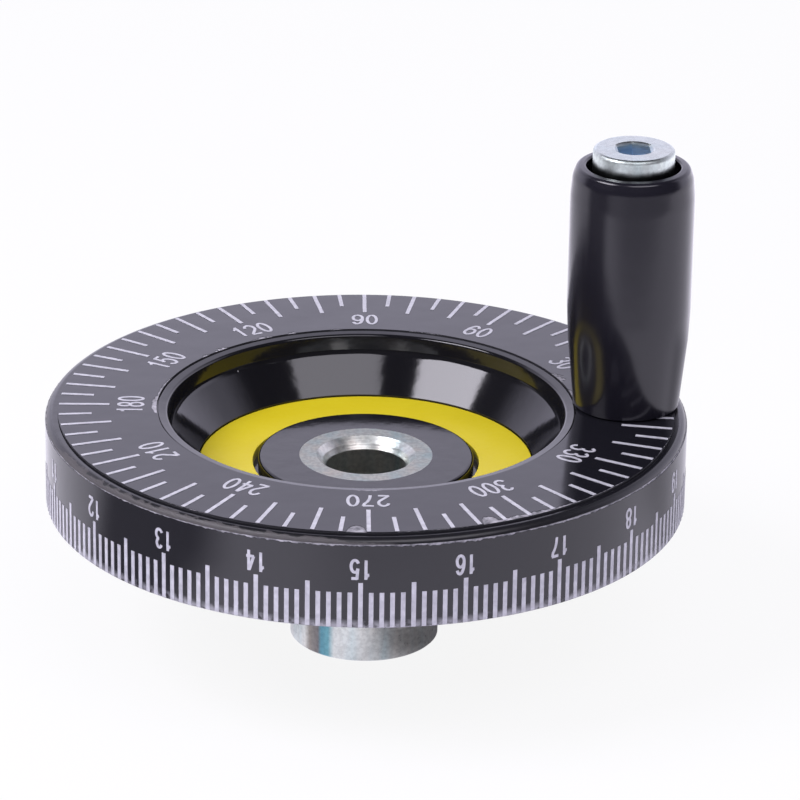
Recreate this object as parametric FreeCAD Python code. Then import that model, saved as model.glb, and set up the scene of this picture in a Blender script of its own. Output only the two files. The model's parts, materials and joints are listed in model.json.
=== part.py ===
import FreeCAD, Part
import math
import os

# Graduated handwheel, 80 mm across, with a revolving handle. All sizes are in millimetres.
# The origin is the centre of the hub's rear end face. +Z runs along the bore towards the handle,
# and the handle stands on +X.

# Moulded wheel
wheel_diameter = 80.0      # over the print on the rim
rim_width = 11.35          # front face back to the rim's rear edge
dish_depth = 6.25          # front face down to the boss's face
face_width = 15.5          # rim to the foot of the dish's upright wall
mouth_wall_depth = 2.35    # how far that wall runs down before the cone
mouth_draft = 0.2          # how far it leans out over its height
mouth_round = 0.5
mouth_foot_round = 1.6
cone_width = 3.53          # foot of the upright wall in to the foot of the cone, by the yellow ring
floor_below_boss = 0.55
edge_round = 0.9           # front edge of the rim
edge_lip = 0.7             # plain edge above the rim label
edge_step = 0.1            # how far the lip stands inside the rim label
boss_round = 0.4
rim_wall = 3.6
channel_width = 7.4        # open channel behind the face, between rim and dish
channel_floor = 4.6        # thickness of the face over the channel
channel_draft = 0.4
channel_round = 1.2
back_round = 0.5
web_recess = 0.35          # web's rear face, in from the rim's rear edge
rib_count = 6
rib_thickness = 2.0
rib_recess = 1.8           # ribs' rear edge, in from the rim's rear edge

# Steel hub bush, with the plastic collar that holds it at the rear
bore_diameter = 10.0
bush_diameter = 18.7
hub_length = 24.25         # rear end face to the boss's face
spigot_diameter = 16.66    # ring that shows in the boss
spigot_length = 2.4
rear_chamfer = 0.8
bush_edge = 0.2
mouth_chamfer_diameter = 12.4
mouth_chamfer_depth = 0.75
mouth_step_depth = 0.7
mouth_step_width = 0.4
collar_length = 6.5        # behind the web
collar_diameter = 27.0     # at the web
collar_taper = 1.3         # off its radius, over its length
collar_fillet = 1.5
collar_round = 0.6
groove_width = 1.6
groove_depth = 0.8
groove_pitch = 3.2
first_groove = 4.6         # front face of the boss to the first groove

# Yellow ring let into the dish's floor. The boss starts inside it.
ring_width = 6.72
ring_thickness = 1.2
ring_below_boss = 0.75
ring_side_gap = 0.1
ring_boss_gap = 0.65

# Labels and their print
dial_label_thickness = 0.3
dial_label_outer_margin = 1.6
dial_label_inner_margin = 1.5
rim_label_thickness = 0.2
print_thickness = 0.05
dial_mark_count = 72
dial_mark_width = 0.5
dial_mark_margin = 0.13
dial_mark_long = 6.27
dial_mark_short = 4.06
dial_mark_start = -2.92    # degrees, the zero line as stuck on
rim_mark_count = 200
rim_mark_width = 0.55
rim_mark_margin = 0.07
rim_mark_long = 5.74
rim_mark_short = 4.48
rim_mark_long_each = 5
rim_mark_start = -4.22     # degrees

# Handle: threaded insert, shoulder screw and revolving grip
handle_inset = 7.54        # handle axis in from the rim
insert_diameter = 8.0
insert_length = 10.0
insert_wall = 2.0          # plastic round it in the channel
insert_groove_depth = 0.5
insert_groove_width = 1.5
thread_diameter = 5.0
thread_length = 9.0
thread_chamfer = 0.5
shoulder_diameter = 9.5
shoulder_height = 1.5
shank_diameter = 6.0
head_diameter = 10.1
head_height = 4.3
head_round = 0.5
head_above_grip = 2.15
socket_across_flats = 4.0
socket_depth = 2.5
socket_cone_depth = 0.9
socket_chamfer = 0.25
grip_length = 31.4
grip_diameter = 15.36
grip_base_diameter = 13.2
grip_top_diameter = 14.96
grip_taper_length = 10.9   # straight taper at the base
grip_taper_blend = 45.0
grip_neck_length = 4.0     # slight narrowing at the top
grip_neck_blend = 12.0
grip_base_round = 0.2
grip_top_round = 1.8
grip_lip_round = 0.35
counterbore_diameter = 11.56
shank_clearance = 0.08     # running fit, on the radius
shoulder_clearance = 0.3
end_clearance = 0.3
base_clearance = 0.15      # between the grip and the label

# Levels and radii that follow from these
wheel_r = wheel_diameter / 2
face_z = hub_length + dish_depth
rim_back_z = face_z - rim_width
mouth_r = wheel_r - face_width
floor_r = mouth_r - cone_width
ring_outer_r = floor_r - ring_side_gap
ring_inner_r = ring_outer_r - ring_width
boss_r = ring_inner_r - ring_boss_gap
floor_z = hub_length - floor_below_boss
ring_top_z = hub_length - ring_below_boss
ring_seat_z = ring_top_z - ring_thickness
web_back_z = rim_back_z + web_recess
rim_label_r = wheel_r - print_thickness
rim_seat_r = rim_label_r - rim_label_thickness
rim_label_top_z = face_z - edge_lip
lip_r = rim_label_r - edge_step
channel_outer_r = rim_seat_r - rim_wall
channel_inner_r = channel_outer_r - channel_width
channel_z = face_z - channel_floor
collar_z = web_back_z - collar_length
bush_r = bush_diameter / 2
spigot_r = spigot_diameter / 2
spigot_z = hub_length - spigot_length
bore_r = bore_diameter / 2
dial_label_r = wheel_r - dial_label_outer_margin
dial_label_inner_r = mouth_r + dial_label_inner_margin
dial_label_z = face_z + dial_label_thickness
handle_x = wheel_r - handle_inset
insert_z = face_z - insert_length
insert_r = insert_diameter / 2
shoulder_r = shoulder_diameter / 2
shoulder_z = face_z + shoulder_height
label_hole_r = shoulder_r + shoulder_clearance
grip_z = dial_label_z + base_clearance
grip_top_z = grip_z + grip_length
head_top_z = grip_top_z + head_above_grip
head_z = head_top_z - head_height
counterbore_z = head_z - end_clearance

V = FreeCAD.Vector
AXIS = V(0, 0, 1)
HANDLE = V(handle_x, 0, 0)


def profile(corners):
    """Closed edges in the XZ plane through corners (r, z); a corner (r, z, radius) gets a tangent arc."""
    spots = [V(corner[0], 0, corner[1]) for corner in corners]
    ends = []
    arcs = []
    for i, corner in enumerate(corners):
        here = spots[i]
        radius = corner[2] if len(corner) > 2 else 0
        if radius == 0:
            ends.append((here, here))
            arcs.append(None)
            continue
        back = (spots[i - 1] - here).normalize()
        on = (spots[(i + 1) % len(spots)] - here).normalize()
        half = back.getAngle(on) / 2
        start = here + back * (radius / math.tan(half))
        end = here + on * (radius / math.tan(half))
        middle = here + (back + on).normalize() * (radius / math.sin(half) - radius)
        ends.append((start, end))
        arcs.append(Part.Arc(start, middle, end).toShape())
    edges = []
    for i, arc in enumerate(arcs):
        if arc:
            edges.append(arc)
        following = ends[(i + 1) % len(ends)][0]
        edges.append(Part.makeLine(ends[i][1], following))
    return edges


def turned(edges):
    """Solid of revolution about Z of the area inside the edges."""
    face = Part.Face(Part.Wire(edges))
    return face.revolve(V(0, 0, 0), AXIS, 360)


def cylinder(radius, low, high):
    return Part.makeCylinder(radius, high - low, V(0, 0, low))


def bush_outline():
    """Where plastic and bush meet, from the collar's end forwards: plain, two grooves, then the spigot."""
    line = [(bush_r, collar_z)]
    for number in (1, 0):
        top = hub_length - first_groove - number * groove_pitch
        line += [
            (bush_r, top - groove_width),
            (bush_r - groove_depth, top - groove_width),
            (bush_r - groove_depth, top),
            (bush_r, top),
        ]
    return line + [(bush_r, spigot_z), (spigot_r, spigot_z), (spigot_r, hub_length)]


def insert_blank():
    """Outer form of the threaded insert: a cylinder with one retention groove."""
    middle = (insert_z + face_z) / 2
    low = middle - insert_groove_width / 2
    high = middle + insert_groove_width / 2
    neck = insert_r - insert_groove_depth
    corners = [
        (0, insert_z), (insert_r, insert_z), (insert_r, low), (neck, low),
        (neck, high), (insert_r, high), (insert_r, face_z), (0, face_z),
    ]
    return turned(profile(corners)).translated(HANDLE)


def wheel_body():
    """Dished wheel: boss, ring seat, cone, wall and face in front; rim, channel, web and collar behind."""
    front = [
        (boss_r, hub_length, boss_round), (boss_r, ring_seat_z), (floor_r, ring_seat_z), (floor_r, floor_z),
        (mouth_r, face_z - mouth_wall_depth, mouth_foot_round), (mouth_r + mouth_draft, face_z, mouth_round),
        (lip_r, face_z, edge_round), (lip_r, rim_label_top_z), (rim_seat_r, rim_label_top_z),
    ]
    back = [
        (rim_seat_r, rim_back_z), (channel_outer_r, rim_back_z, back_round),
        (channel_outer_r - channel_draft, channel_z, channel_round),
        (channel_inner_r + channel_draft, channel_z, channel_round),
        (channel_inner_r, web_back_z, back_round), (collar_diameter / 2, web_back_z, collar_fillet),
        (collar_diameter / 2 - collar_taper, collar_z, collar_round),
    ]
    body = turned(profile(front + back + bush_outline()))
    pillar = cylinder(insert_r + insert_wall, insert_z, channel_z + channel_round).translated(HANDLE)
    middle_r = (channel_outer_r + channel_inner_r) / 2
    rib_low = rim_back_z + rib_recess
    rib = Part.makeBox(
        channel_width + rib_thickness, rib_thickness, channel_z + channel_round - rib_low,
        V(middle_r - (channel_width + rib_thickness) / 2, -rib_thickness / 2, rib_low),
    )
    step = 360 / rib_count
    ribs = [rib.rotated(V(0, 0, 0), AXIS, (i + 0.5) * step) for i in range(rib_count)]
    return body.fuse([pillar] + ribs).cut(insert_blank()).removeSplitter()


def hub_bush():
    """Turned bush: chamfered rear end, two grooves in the plastic, spigot, and a bore mouth in two steps."""
    mouth_r_outer = mouth_chamfer_diameter / 2
    step_r = bore_r + mouth_step_width
    chamfer_z = hub_length - mouth_chamfer_depth
    corners = [
        (bore_r, rear_chamfer), (bore_r + rear_chamfer, 0),
        (bush_r - bush_edge, 0), (bush_r, bush_edge),
    ]
    corners += bush_outline()
    corners += [
        (mouth_r_outer, hub_length), (step_r, chamfer_z),
        (bore_r, chamfer_z - mouth_step_depth),
    ]
    return turned(profile(corners))


def accent_ring():
    """Flat yellow ring, clear of the boss."""
    outer = cylinder(ring_outer_r, ring_seat_z, ring_top_z)
    return outer.cut(cylinder(ring_inner_r, ring_seat_z, ring_top_z))


def dial_label():
    """Printed ring on the front face, holed for the screw's shoulder."""
    ring = cylinder(dial_label_r, face_z, dial_label_z)
    ring = ring.cut(cylinder(dial_label_inner_r, face_z, dial_label_z))
    return ring.cut(cylinder(label_hole_r, face_z, dial_label_z).translated(HANDLE))


def degree_marks():
    """One line each five degrees, long each ten, cut away at the label's hole."""
    outer = dial_label_r - dial_mark_margin
    hole = cylinder(label_hole_r, dial_label_z, dial_label_z + print_thickness).translated(HANDLE)
    step = 360 / dial_mark_count
    marks = []
    for i in range(dial_mark_count):
        length = dial_mark_short if i % 2 else dial_mark_long
        corner = V(outer - length, -dial_mark_width / 2, dial_label_z)
        mark = Part.makeBox(length, dial_mark_width, print_thickness, corner)
        mark = mark.rotated(V(0, 0, 0), AXIS, dial_mark_start + i * step)
        if mark.distToShape(hole)[0] < print_thickness:
            mark = mark.cut(hole)
        marks += mark.Solids
    return Part.makeCompound(marks)


def rim_label():
    """Printed strip stuck round the rim."""
    ring = cylinder(rim_label_r, rim_back_z, rim_label_top_z)
    return ring.cut(cylinder(rim_seat_r, rim_back_z, rim_label_top_z))


def rim_mark(height):
    """One line of the rim's scale on +X, curved as the rim is."""
    half = rim_mark_width / 2 / wheel_r
    outer = [V(wheel_r * math.cos(a), wheel_r * math.sin(a), 0) for a in (-half, 0, half)]
    inner = [V(rim_label_r * math.cos(a), rim_label_r * math.sin(a), 0) for a in (half, 0, -half)]
    edges = [
        Part.Arc(*outer).toShape(), Part.makeLine(outer[2], inner[0]),
        Part.Arc(*inner).toShape(), Part.makeLine(inner[2], outer[0]),
    ]
    face = Part.Face(Part.Wire(edges))
    return face.extrude(V(0, 0, height)).translated(V(0, 0, rim_back_z + rim_mark_margin))


def rim_marks():
    """Two hundred lines, each fifth one long."""
    long_mark = rim_mark(rim_mark_long)
    short_mark = rim_mark(rim_mark_short)
    step = 360 / rim_mark_count
    marks = []
    for i in range(rim_mark_count):
        mark = short_mark if i % rim_mark_long_each else long_mark
        marks.append(mark.rotated(V(0, 0, 0), AXIS, rim_mark_start + i * step))
    return Part.makeCompound(marks)


def handle_insert():
    """Threaded insert, open at both ends."""
    hole = cylinder(thread_diameter / 2, insert_z, face_z).translated(HANDLE)
    return insert_blank().cut(hole)


def socket():
    """Hex socket with a chamfered mouth and a drilled cone below, sunk from the top of the head."""
    corner_r = socket_across_flats / math.sqrt(3)
    corners = []
    for i in range(7):
        angle = math.radians(90 + 60 * i)
        corners.append(V(corner_r * math.cos(angle), corner_r * math.sin(angle), head_top_z))
    hexagon = Part.Face(Part.makePolygon(corners)).extrude(V(0, 0, -socket_depth))
    flat_r = socket_across_flats / 2
    cone = Part.makeCone(0, flat_r, socket_cone_depth, V(0, 0, head_top_z - socket_depth - socket_cone_depth))
    mouth = Part.makeCone(
        corner_r - socket_chamfer, corner_r + socket_chamfer, 2 * socket_chamfer,
        V(0, 0, head_top_z - socket_chamfer),
    )
    return hexagon.fuse([cone, mouth])


def handle_spindle():
    """Shoulder screw: thread end, shoulder on the wheel's face, plain shank and rounded socket head."""
    thread_r = thread_diameter / 2
    shank_r = shank_diameter / 2
    head_r = head_diameter / 2
    tip_z = face_z - thread_length
    corners = [
        (0, tip_z), (thread_r - thread_chamfer, tip_z),
        (thread_r, tip_z + thread_chamfer), (thread_r, face_z),
        (shoulder_r, face_z), (shoulder_r, shoulder_z), (shank_r, shoulder_z), (shank_r, head_z),
        (head_r, head_z), (head_r, head_top_z, head_round), (0, head_top_z),
    ]
    return turned(profile(corners)).cut(socket()).translated(HANDLE)


def grip():
    """Revolving grip: tapered foot, rounded top, and a bore in steps for shoulder, shank and head."""
    shank_bore_r = shank_diameter / 2 + shank_clearance
    counterbore_r = counterbore_diameter / 2
    corners = [
        (label_hole_r, grip_z), (grip_base_diameter / 2, grip_z, grip_base_round),
        (grip_diameter / 2, grip_z + grip_taper_length, grip_taper_blend),
        (grip_diameter / 2, grip_top_z - grip_neck_length, grip_neck_blend),
        (grip_top_diameter / 2, grip_top_z, grip_top_round), (counterbore_r, grip_top_z, grip_lip_round),
        (counterbore_r, counterbore_z), (shank_bore_r, counterbore_z),
        (shank_bore_r, shoulder_z + end_clearance), (label_hole_r, shoulder_z + end_clearance),
    ]
    return turned(profile(corners)).translated(HANDLE)


os.makedirs("parts", exist_ok=True)
for make in (
    wheel_body, hub_bush, accent_ring, dial_label, degree_marks, rim_label, rim_marks,
    handle_insert, handle_spindle, grip,
):
    shape = make()
    name = make.__name__
    shape.exportStep(f"parts/{name}.step")
    print(name, "valid" if shape.isValid() else "not valid", len(shape.Solids), round(shape.Volume, 2))
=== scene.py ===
import json
import math

import bpy
import numpy as np
from mathutils import Matrix, Vector


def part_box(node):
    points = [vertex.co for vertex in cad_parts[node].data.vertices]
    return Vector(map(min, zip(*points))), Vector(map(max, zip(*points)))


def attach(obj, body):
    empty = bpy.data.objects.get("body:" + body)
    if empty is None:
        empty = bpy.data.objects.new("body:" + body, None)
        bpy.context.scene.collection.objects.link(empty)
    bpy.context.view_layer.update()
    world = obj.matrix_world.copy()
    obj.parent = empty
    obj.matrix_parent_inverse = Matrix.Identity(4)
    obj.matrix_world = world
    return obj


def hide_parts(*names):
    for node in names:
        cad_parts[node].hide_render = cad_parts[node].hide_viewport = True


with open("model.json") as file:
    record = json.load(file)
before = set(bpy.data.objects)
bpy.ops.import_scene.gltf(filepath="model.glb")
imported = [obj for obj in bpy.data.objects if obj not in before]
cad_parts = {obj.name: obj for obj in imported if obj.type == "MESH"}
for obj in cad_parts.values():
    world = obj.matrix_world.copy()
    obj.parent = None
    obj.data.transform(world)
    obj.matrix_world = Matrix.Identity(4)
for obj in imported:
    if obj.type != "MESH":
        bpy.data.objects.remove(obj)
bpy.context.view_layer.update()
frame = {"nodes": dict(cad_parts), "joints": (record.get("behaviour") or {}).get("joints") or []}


# Camera
# A long lens looks down on the wheel's face from the side of the scales' 270 and 15, with the handle
# on its right. It aims at the middle of the face and is moved a little off that line.

MM = 0.001


def reach(node):
    """Lowest and highest corner of a CAD node, in millimetres."""
    low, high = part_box(node)
    return np.array(low) / MM, np.array(high) / MM


label_top = reach("dial_label")[1][2]
camera_distance = 571.3
camera_elevation = math.radians(22.49)
camera_turn = math.radians(-4.04)
camera_roll = math.radians(0.82)
camera_right = 4.17
camera_up = 0.81
lens_length = 206.27
sensor_width = 36.0


def place_camera():
    """Camera with its own right, up and back as matrix columns, worked out on -Y and then turned about Z."""
    forward = Vector((0, math.cos(camera_elevation), -math.sin(camera_elevation)))
    right = Vector((1, 0, 0))
    up = right.cross(forward)
    stand = right * camera_right + up * camera_up - forward * camera_distance
    rolled_right = right * math.cos(camera_roll) + up * math.sin(camera_roll)
    rolled_up = up * math.cos(camera_roll) - right * math.sin(camera_roll)
    facing = Matrix((rolled_right, rolled_up, -forward)).transposed().to_4x4()
    lens = bpy.data.cameras.new("camera")
    lens.lens = lens_length
    lens.sensor_width = sensor_width
    lens.clip_start = 0.01
    lens.clip_end = 20
    camera = bpy.data.objects.new("camera", lens)
    bpy.context.scene.collection.objects.link(camera)
    raised = Matrix.Translation(Vector((0, 0, label_top)) * MM)
    turned_round = Matrix.Rotation(camera_turn, 4, "Z")
    camera.matrix_world = raised @ turned_round @ Matrix.Translation(stand * MM) @ facing
    bpy.context.scene.camera = camera


place_camera()


# Wheel body
# The moulded wheel of black phenolic: boss, dish, upright wall and face in front, and an open channel
# with six ribs and the insert's pillar behind. It comes glossy from a polished mould.

wheel_radius = reach("rim_marks")[1][0]
face_z = reach("wheel_body")[1][2]
collar_end = reach("wheel_body")[0][2]
boss_z = reach("hub_bush")[1][2]
rim_back = reach("rim_label")[0][2]
rim_label_radius = reach("rim_label")[1][0]
rim_label_top = reach("rim_label")[1][2]
rim_seat = rim_label_radius - 0.2
lip_radius = rim_label_radius - 0.1
lip_round = 0.9
lip_foot = face_z - lip_round - 0.02
mouth_radius = wheel_radius - 15.5
mouth_depth = 2.35
mouth_draft = 0.25
mouth_round = 0.4
mouth_foot_round = 1.6
bead_rise = 0.15
bead_fall = 0.15
bead_round = 0.13
dial_inner = mouth_radius + 1.6
dial_gap = 0.12
cone_foot = boss_z - 0.55
ring_seat = reach("accent_ring")[0][2]
ring_radius = reach("accent_ring")[1][0]
ring_inner_radius = ring_radius - 6.72
boss_radius = ring_inner_radius - 0.65
boss_round = 0.4
web_back = rim_back + 0.35
channel_outer = rim_seat - 3.6
channel_inner = channel_outer - 7.4
channel_floor = face_z - 4.6
channel_draft = 0.4
channel_round = 1.2
back_round = 0.5
collar_radius = 13.5
collar_taper = 1.3
collar_fillet = 1.5
collar_round = 0.6
bush_radius = 9.35
spigot_radius = 8.33
spigot_foot = boss_z - 2.4
groove_width = 1.6
groove_depth = 0.8
groove_tops = (boss_z - 4.6 - 3.2, boss_z - 4.6)
bend_step = math.radians(9)
scuff_height = 0.65
scuff_rise = (math.radians(-172), math.radians(-158))
scuff_fall = (math.radians(-108), math.radians(-80))
scuff_grey = (0.075, 0.07, 0.07, 1)
wheel_colour = (0.008, 0.008, 0.010, 1)
dust_colour = (0.6, 0.6, 0.62, 1)


def outline(corners):
    """Closed outline through corners (r, z) or (r, z, radius), with the normals on both sides of each point.

    A corner with a radius becomes an arc about a centre that lies the radius off both runs. Along it the
    heading turns evenly from one run's to the next one's, and the normal is the heading turned a quarter.
    Gives the points, the normal arriving at each and the normal leaving it. The solid is on the right.
    """
    place = np.array([corner[:2] for corner in corners], float)
    radius = [corner[2] if len(corner) > 2 else 0 for corner in corners]
    ahead = np.roll(place, -1, 0) - place
    length = np.hypot(*ahead.T)
    ahead /= length[:, None]
    heading = np.arctan2(ahead[:, 1], ahead[:, 0])
    arriving = np.roll(heading, 1)
    turn = (heading - arriving + math.pi) % (2 * math.pi) - math.pi
    points, before, after = [], [], []
    for spot, start, bend, size in zip(place, arriving, turn, radius):
        steps = math.ceil(abs(bend) / bend_step) + 1 if size else 1
        angle = start + bend * np.linspace(0, 1, steps) if size else np.array([start])
        left = np.stack([-np.sin(angle), np.cos(angle)], 1)
        run = np.array([math.cos(start), math.sin(start)])
        side = size * np.sign(bend)
        centre = spot - run * size * math.tan(abs(bend) / 2) + left[0] * side
        points.append(centre - left * side)
        before.append(left)
        after.append(left if size else np.array([[-math.sin(start + bend), math.cos(start + bend)]]))
    return np.concatenate(points), np.concatenate(before), np.concatenate(after)


def mesh_piece(name, points, faces, normals=None):
    """Object at the origin from points in millimetres and arrays of faces, with a normal for each corner."""
    mesh = bpy.data.meshes.new(name)
    used, places = np.unique(np.concatenate([face.ravel() for face in faces]), return_inverse=True)
    parts = np.split(places.ravel(), np.cumsum([face.size for face in faces])[:-1])
    lists = [part.reshape(face.shape).tolist() for part, face in zip(parts, faces)]
    mesh.from_pydata((points[used] * MM).tolist(), [], sum(lists, []))
    if normals is not None:
        mesh.normals_split_custom_set(np.concatenate([part.reshape(-1, 3) for part in normals]).tolist())
    piece = bpy.data.objects.new(name, mesh)
    bpy.context.scene.collection.objects.link(piece)
    return piece


def swung(radius, height, angle):
    """Points (r cos a, r sin a, z) for rows of radii and heights, on a grid of rows and angles."""
    radius, height, angle = np.broadcast_arrays(radius, height, angle)
    return np.stack([radius * np.cos(angle), radius * np.sin(angle), height], -1)


def ring_surface(name, radius, height, leaving, arriving, axis_x=0.0):
    """Closed surface round an axis: row k runs at radius[k] and height[k], which may change with the angle.

    A band of faces joins each row to the next, listed with the solid on the right. The pair leaving[k]
    is the band's normal at row k, arriving[k] the normal with which the band before it gets there; where
    they are not numbers, a face has its own. A row on the axis is one point.
    """
    rows, steps = np.broadcast_shapes(np.shape(radius), np.shape(height))
    angle = np.arange(steps) * 2 * math.pi / steps
    points = swung(radius, height, angle)
    pole = np.isclose(points[..., :2], 0).all((1, 2))
    index = np.arange(rows)[:, None] * steps + np.arange(steps) * ~pole[:, None]
    onward = np.roll(index, -1, 0)
    corner = np.stack([index, onward, np.roll(onward, -1, 1), np.roll(index, -1, 1)], 2)
    here = swung(leaving[:, :1], leaving[:, 1:], angle)
    there = swung(arriving[:, :1], arriving[:, 1:], angle)
    there = np.roll(there, -1, 0)
    normal = np.stack([here, there, np.roll(there, -1, 1), np.roll(here, -1, 1)], 2)
    spots = points.reshape(-1, 3)[corner]
    across = np.cross(spots[:, :, 2] - spots[:, :, 0], spots[:, :, 3] - spots[:, :, 1])
    across /= np.maximum(np.linalg.norm(across, axis=2, keepdims=True), 1e-12)
    normal = np.where(np.isnan(normal), across[:, :, None], normal)
    points[..., 0] += axis_x
    next_pole = np.roll(pole, -1)
    faces, normals = [], []
    for bands, keep in (
        (~pole & ~next_pole, [0, 1, 2, 3]), (pole & ~next_pole, [0, 1, 2]), (~pole & next_pole, [0, 1, 3]),
    ):
        if bands.any():
            faces.append(corner[bands][:, :, keep].reshape(-1, len(keep)))
            normals.append(normal[bands][:, :, keep])
    return mesh_piece(name, points.reshape(-1, 3), faces, normals)


def turned(name, corners, axis_x=0.0, steps=360):
    """Surface of revolution of a closed outline through the corners, with the solid on its right."""
    rows, before, after = outline(corners)
    radius = np.broadcast_to(rows[:, :1], (len(rows), steps))
    return ring_surface(name, radius, rows[:, 1:], after, before, axis_x)


def plug(made, sockets):
    """Sets or links a shader node's sockets, by name or number."""
    for key, value in sockets.items():
        if isinstance(value, bpy.types.NodeSocket):
            made.id_data.links.new(value, made.inputs[key])
        else:
            made.inputs[key].default_value = value


def node(tree, kind, sockets=None, **settings):
    """Adds a shader node with its settings, and sets or links its sockets."""
    made = tree.nodes.new(kind)
    for name, value in settings.items():
        setattr(made, name, value)
    plug(made, sockets or {})
    return made


def math_node(tree, operation, first, second=0.0):
    return node(tree, "ShaderNodeMath", {0: first, 1: second}, operation=operation).outputs[0]


def product(tree, first, *others):
    """All the values multiplied."""
    for other in others:
        first = math_node(tree, "MULTIPLY", first, other)
    return first


def ramp_node(tree, value, start, end, low, high, curve="SMOOTHSTEP"):
    """Value mapped from start..end to low..high: smoothly, or evenly with the curve LINEAR."""
    return node(tree, "ShaderNodeMapRange", {
        "Value": value, "From Min": start, "From Max": end, "To Min": low, "To Max": high,
    }, interpolation_type=curve).outputs[0]


def noise(tree, place, scale, detail=2.0, roughness=0.5):
    return node(tree, "ShaderNodeTexNoise", {
        "Vector": place, "Scale": scale, "Detail": detail, "Roughness": roughness,
    }).outputs["Fac"]


def bumped(tree, strength, distance, height):
    """Normal of a surface raised by the height, up to the distance in metres."""
    return node(tree, "ShaderNodeBump", {
        "Strength": strength, "Distance": distance, "Height": height,
    }).outputs["Normal"]


def mixed(tree, factor, first, second, mode="MIX"):
    """Colour that goes from the first to the second with the factor."""
    return node(tree, "ShaderNodeMix", {
        "Factor": factor, "A": first, "B": second,
    }, data_type="RGBA", blend_type=mode).outputs["Result"]


def scaled(tree, vector, factor):
    """A colour or a place times a number."""
    return node(tree, "ShaderNodeVectorMath", {0: vector, "Scale": factor}, operation="SCALE").outputs[0]


def measured(tree, operation, *vectors):
    """The LENGTH of one vector or the DOT_PRODUCT of two."""
    return node(tree, "ShaderNodeVectorMath", dict(enumerate(vectors)), operation=operation).outputs["Value"]


def object_spot(tree):
    return node(tree, "ShaderNodeTexCoord").outputs["Object"]


def from_axis(tree, x, y, centre):
    """Distance from an upright axis at x = centre."""
    flat = node(tree, "ShaderNodeCombineXYZ", {"X": math_node(tree, "SUBTRACT", x, centre), "Y": y})
    return measured(tree, "LENGTH", flat.outputs[0])


def polar(tree, centre=0.0):
    """Distance from an upright axis at x = centre, angle about the object's Z, and height, in millimetres."""
    place = scaled(tree, object_spot(tree), 1 / MM)
    x, y, height = node(tree, "ShaderNodeSeparateXYZ", {"Vector": place}).outputs
    return from_axis(tree, x, y, centre), math_node(tree, "ARCTAN2", y, x), height


def material(name, **sockets):
    """New node material; the values go on the Principled shader's own sockets."""
    made = bpy.data.materials.new(name)
    made.use_nodes = True
    shader = made.node_tree.nodes["Principled BSDF"]
    for key, value in sockets.items():
        shader.inputs[key.replace("_", " ")].default_value = value
    return made, made.node_tree, shader


def group(name, inputs, outputs):
    """New shader node group with float inputs and typed outputs; gives its tree and its two end nodes."""
    tree = bpy.data.node_groups.new(name, "ShaderNodeTree")
    for title, value in inputs.items():
        socket = tree.interface.new_socket(title, in_out="INPUT", socket_type="NodeSocketFloat")
        socket.default_value = value
    for title, kind in outputs.items():
        tree.interface.new_socket(title, in_out="OUTPUT", socket_type=kind)
    return tree, node(tree, "NodeGroupInput"), node(tree, "NodeGroupOutput")


def dress(piece, finish, body, slot, *nodes):
    """Gives a finished piece its material and its body, and hides the nodes that it stands for. The slot is
    not used.
    """
    piece.data.materials.clear()
    piece.data.materials.append(finish)
    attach(piece, body)
    if nodes:
        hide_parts(*nodes)


def fed(shader, key):
    """What a material's shader is fed with so far."""
    return shader.inputs[key].links[0].from_socket


def moulded_skin():
    """Group: the faint ripple of a moulded surface, as a normal, and a few pale specks of dust, as a mask."""
    tree, start, end = group(
        "moulded_skin", {"Ripple": 0.02, "Specks": 0.2},
        {"Normal": "NodeSocketVector", "Dust": "NodeSocketFloat"},
    )
    spot = object_spot(tree)
    cells = node(tree, "ShaderNodeTexVoronoi", {"Vector": spot, "Scale": 520.0})
    pick = node(tree, "ShaderNodeSeparateColor", {"Color": cells.outputs["Color"]}).outputs["Red"]
    rare = math_node(tree, "GREATER_THAN", pick, 0.985)
    near = math_node(tree, "LESS_THAN", cells.outputs["Distance"], 0.06)
    plug(end, {
        "Normal": bumped(tree, start.outputs["Ripple"], 0.001, noise(tree, spot, 420.0)),
        "Dust": product(tree, rare, near, start.outputs["Specks"]),
    })
    return tree


skin_group = moulded_skin()


def black_moulding(name, roughness, ripple, specks, black):
    """Glossy black phenolic, with the moulded skin's ripple and its dust."""
    finish, tree, shader = material(name, Roughness=roughness, IOR=1.5)
    skin = node(tree, "ShaderNodeGroup", {"Ripple": ripple, "Specks": specks}, node_tree=skin_group)
    plug(shader, {
        "Base Color": mixed(tree, skin.outputs["Dust"], black, dust_colour),
        "Normal": skin.outputs["Normal"],
    })
    return finish, tree, shader


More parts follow.
